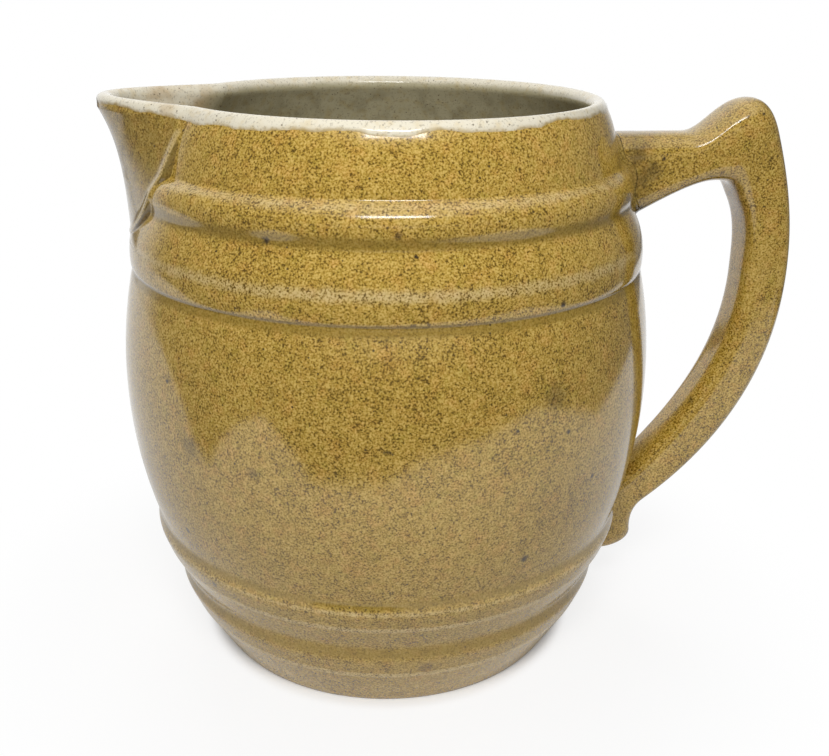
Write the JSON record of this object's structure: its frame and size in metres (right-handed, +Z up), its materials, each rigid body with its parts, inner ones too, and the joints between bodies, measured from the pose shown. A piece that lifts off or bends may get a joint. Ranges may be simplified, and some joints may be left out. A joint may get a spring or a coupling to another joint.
{
  "type": "stoneware pitcher",
  "caption": "Barrel-shaped glazed stoneware pitcher with turned hoops, a V-shaped pouring spout and a moulded handle with a thumb rest, for holding and pouring liquids.",
  "frame": {"origin": "centre of the foot ring, on the surface the pitcher stands on", "axes": "+Z up along the axis of the barrel, +X towards the handle, -X towards the spout"},
  "size_m": [0.2223, 0.171, 0.181],
  "materials": {
    "tan_glaze": "glossy speckled tan glaze on stoneware",
    "fired_slip": "fired slip under the glaze",
    "cream_glaze": "glossy cream liner glaze"
  },
  "bodies": {
    "root": {"barrel_body": "tan_glaze", "spout": "tan_glaze", "handle": "tan_glaze", "spout_slip_joint": "fired_slip", "handle_upper_slip_joint": "fired_slip", "handle_lower_slip_joint": "fired_slip", "liner_glaze": "cream_glaze"}
  },
  "joints": []
}
